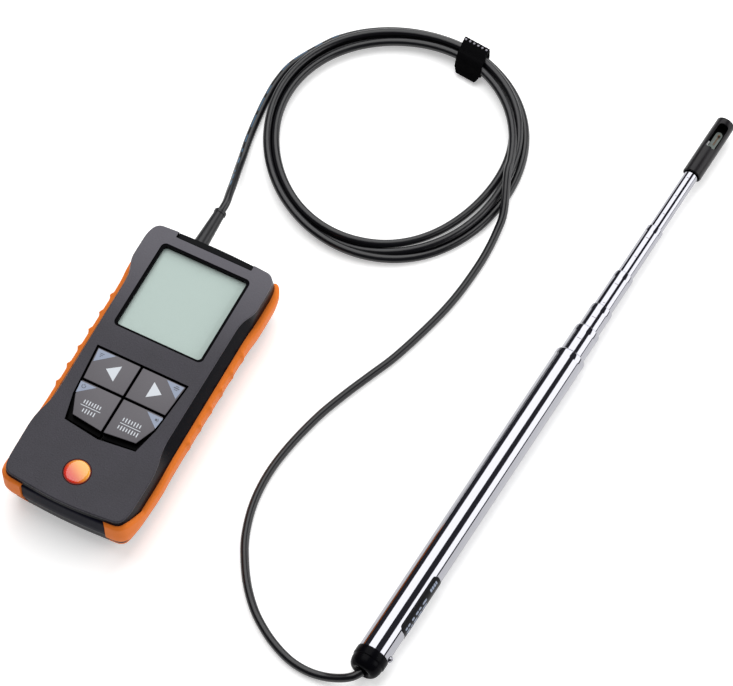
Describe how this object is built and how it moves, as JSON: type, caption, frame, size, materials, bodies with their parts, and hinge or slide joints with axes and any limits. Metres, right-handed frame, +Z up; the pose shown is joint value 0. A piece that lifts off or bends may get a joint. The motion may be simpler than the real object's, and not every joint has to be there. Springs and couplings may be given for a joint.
{
  "type": "hot-wire anemometer",
  "caption": "Handheld air-speed meter with display and keypad, a coiled cable held by a strap, and a telescopic chromed probe with a slotted sensor head.",
  "frame": {"origin": "middle of the handset's flat back, on the surface that the whole set lies on", "axes": "+X across the handset to its right, +Y along it towards the cable, +Z up out of the display"},
  "size_m": [0.1858, 0.2946, 0.0279],
  "materials": {
    "case_plastic": "fine textured",
    "panel_plastic": "satin",
    "connector_panel": "satin",
    "grip_rubber": "soft matte",
    "display_bezel": "satin",
    "display_glass": "clear",
    "lcd": "matte",
    "light_guide": "frosted",
    "zebra_silicone": "matte",
    "key_plastic": "satin",
    "keypad_silicone": "matte",
    "badge_enamel": "domed gloss",
    "board_laminate": "solder mask",
    "chip_epoxy": "satin",
    "shield_tin": "tinned",
    "socket_nylon": "natural",
    "cell_jacket": "printed film",
    "spring_steel": "nickel plated",
    "screw_steel": "zinc plated",
    "cable_jacket": "satin",
    "relief_rubber": "satin",
    "chrome_tube": "polished",
    "label_film": "satin film",
    "cap_plastic": "satin",
    "bush_brass": "machined",
    "head_plastic": "satin",
    "sensor_substrate": "ceramic",
    "bead_metal": "sintered bead",
    "glass_rod": "milky glass",
    "tie_fabric": "hook-and-loop pile"
  },
  "bodies": {
    "handset": {"rear_shell": "case_plastic", "front_shell": "case_plastic", "grip_left": "grip_rubber", "grip_right": "grip_rubber", "end_panel": "panel_plastic", "cable_panel": "connector_panel", "display_frame": "display_bezel", "display_window": "display_glass", "lcd_panel": "lcd", "backlight": "light_guide", "elastomer_connector": "zebra_silicone", "keypad_mat": "keypad_silicone", "badge": "badge_enamel", "circuit_board": "board_laminate", "processor_chip": "chip_epoxy", "radio_module": "shield_tin", "buzzer": "chip_epoxy", "cable_socket": "socket_nylon", "battery_1": "cell_jacket", "battery_2": "cell_jacket", "battery_3": "cell_jacket", "battery_springs": "spring_steel", "battery_contacts": "spring_steel", "case_screws": "screw_steel", "cable_tail": "cable_jacket", "cable_clamp": "chip_epoxy", "strain_relief": "relief_rubber", "probe_handle": "chrome_tube", "handle_label": "label_film", "end_cap": "cap_plastic", "end_cap_screw": "screw_steel", "cable_lead_handset": "cable_jacket", "cable_coil": "cable_jacket", "cable_lead_probe": "cable_jacket", "cable_tie": "tie_fabric"},
    "key_left": {"key_left": "key_plastic"},
    "key_right": {"key_right": "key_plastic"},
    "key_mode": {"key_mode": "key_plastic"},
    "key_menu": {"key_menu": "key_plastic"},
    "battery_cover": {"battery_cover": "case_plastic"},
    "section_1": {"tube_section_1": "chrome_tube", "guide_bush_1": "bush_brass"},
    "section_2": {"tube_section_2": "chrome_tube", "guide_bush_2": "bush_brass"},
    "section_3": {"tube_section_3": "chrome_tube", "guide_bush_3": "bush_brass"},
    "section_4": {"tube_section_4": "chrome_tube", "guide_bush_4": "bush_brass"},
    "section_5": {"tube_section_5": "chrome_tube", "guide_bush_5": "bush_brass", "sensor_carrier": "head_plastic", "sensor_plate": "sensor_substrate", "hot_wire_bead": "bead_metal", "temperature_sensor": "glass_rod", "sensor_grommet": "cap_plastic"},
    "sleeve": {"protective_sleeve": "head_plastic"}
  },
  "joints": [
    {"name": "key_left_press", "type": "slide", "parent": "handset", "child": "key_left", "axis": [0, 0, -1], "range_m": [0, 0.0006], "stiffness_N_per_m": 600, "springref_m": -0.0006},
    {"name": "key_right_press", "type": "slide", "parent": "handset", "child": "key_right", "axis": [0, 0, -1], "range_m": [0, 0.0006], "stiffness_N_per_m": 600, "springref_m": -0.0006},
    {"name": "key_mode_press", "type": "slide", "parent": "handset", "child": "key_mode", "axis": [0, 0, -1], "range_m": [0, 0.0006], "stiffness_N_per_m": 600, "springref_m": -0.0006},
    {"name": "key_menu_press", "type": "slide", "parent": "handset", "child": "key_menu", "axis": [0, 0, -1], "range_m": [0, 0.0006], "stiffness_N_per_m": 600, "springref_m": -0.0006},
    {"name": "battery_cover_slide", "type": "slide", "parent": "handset", "child": "battery_cover", "axis": [0, -1, 0], "range_m": [0, 0.06]},
    {"name": "section_1_slide", "type": "slide", "parent": "handset", "child": "section_1", "axis": [0.075, 0.9972, 0], "range_m": [-0.0118, 0.114]},
    {"name": "section_2_slide", "type": "slide", "parent": "section_1", "child": "section_2", "axis": [0.075, 0.9972, 0], "range_m": [-0.0101, 0.1144]},
    {"name": "section_3_slide", "type": "slide", "parent": "section_2", "child": "section_3", "axis": [0.075, 0.9972, 0], "range_m": [-0.0166, 0.1094]},
    {"name": "section_4_slide", "type": "slide", "parent": "section_3", "child": "section_4", "axis": [0.075, 0.9972, 0], "range_m": [-0.0239, 0.1036]},
    {"name": "section_5_slide", "type": "slide", "parent": "section_4", "child": "section_5", "axis": [0.075, 0.9972, 0], "range_m": [-0.0286, 0.1004]},
    {"name": "sleeve_turn", "type": "hinge", "parent": "section_5", "child": "sleeve", "pos_m": [0.15017, 0.19779, 0.0067], "axis": [0.075, 0.9972, 0], "range_deg": [0, 90]}
  ]
}
